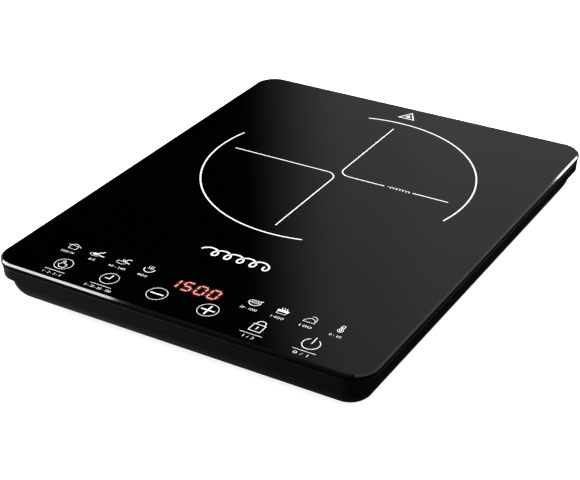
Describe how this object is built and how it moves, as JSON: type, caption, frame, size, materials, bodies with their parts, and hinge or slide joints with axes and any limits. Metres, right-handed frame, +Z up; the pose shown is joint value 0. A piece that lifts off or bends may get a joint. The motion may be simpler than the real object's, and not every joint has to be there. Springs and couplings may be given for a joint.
{
  "type": "electric induction cooktop",
  "caption": "Slim portable induction hob: black glass plate with one printed cooking zone, a touch-key strip and a red display, over a shallow black dish-shaped housing on feet.",
  "frame": {"origin": "on the counter, under the middle of the glass plate", "axes": "+X to the user's right, +Y to the back, +Z up"},
  "size_m": [0.28, 0.35, 0.038],
  "materials": {
    "black_glass": "polished black glass-ceramic with white printed marks",
    "housing_plastic": "fine-textured black",
    "rubber": "matte",
    "seal_silicone": "soft silicone",
    "inner_plastic": "moulded",
    "steel": "zinc plated",
    "spring_steel": "drawn wire",
    "bronze": "sintered",
    "copper": "lacquered wire",
    "ferrite": "sintered",
    "mica": "flake sheet",
    "ceramic": "glazed",
    "circuit_board": "solder mask",
    "chip_plastic": "moulded epoxy",
    "aluminium": "extruded",
    "capacitor_case": "moulded",
    "transformer_core": "laminated",
    "display": "tinted lens over red digits",
    "wire_sleeve": "flexible sleeve"
  },
  "bodies": {
    "housing": {"glass_plate": "black_glass", "glass_seal": "seal_silicone", "upper_housing": "housing_plastic", "base_cover": "housing_plastic", "cord_gland": "rubber", "cord_clamp": "inner_plastic", "foot_front_left": "rubber", "foot_front_right": "rubber", "foot_back_left": "rubber", "foot_back_right": "rubber", "housing_screw_front_left": "steel", "housing_screw_front_right": "steel", "housing_screw_back_left": "steel", "housing_screw_back_right": "steel", "coil_former": "inner_plastic", "litz_winding": "copper", "mica_sheet": "mica", "sensor_bush": "seal_silicone", "pan_sensor": "ceramic", "ferrite_bar_1": "ferrite", "ferrite_bar_2": "ferrite", "ferrite_bar_3": "ferrite", "ferrite_bar_4": "ferrite", "ferrite_bar_5": "ferrite", "ferrite_bar_6": "ferrite", "coil_screw_1": "steel", "coil_screw_2": "steel", "coil_screw_3": "steel", "fan_frame": "inner_plastic", "fan_bearing": "bronze", "fan_stator": "copper", "fan_screw_1": "steel", "fan_screw_2": "steel", "power_board": "circuit_board", "power_transistor": "chip_plastic", "bridge_rectifier": "chip_plastic", "heatsink": "aluminium", "resonant_capacitor": "capacitor_case", "filter_capacitor": "capacitor_case", "smoothing_capacitor": "capacitor_case", "filter_choke": "copper", "auxiliary_transformer": "transformer_core", "fuse": "ceramic", "terminal_block": "inner_plastic", "board_screw_1": "steel", "board_screw_2": "steel", "control_board": "circuit_board", "display_module": "display", "touch_spring_1": "spring_steel", "touch_spring_2": "spring_steel", "touch_spring_3": "spring_steel", "touch_spring_4": "spring_steel", "touch_spring_5": "spring_steel", "touch_spring_6": "spring_steel", "buzzer": "inner_plastic", "ribbon_cable": "wire_sleeve", "mains_lead": "wire_sleeve", "coil_lead": "wire_sleeve"},
    "fan_impeller": {"fan_rotor": "inner_plastic", "fan_shaft": "steel"}
  },
  "joints": [
    {"name": "fan_spin", "type": "hinge", "parent": "housing", "child": "fan_impeller", "pos_m": [-0.08, -0.086, 0.0145], "axis": [0, 0, 1], "continuous": true}
  ]
}
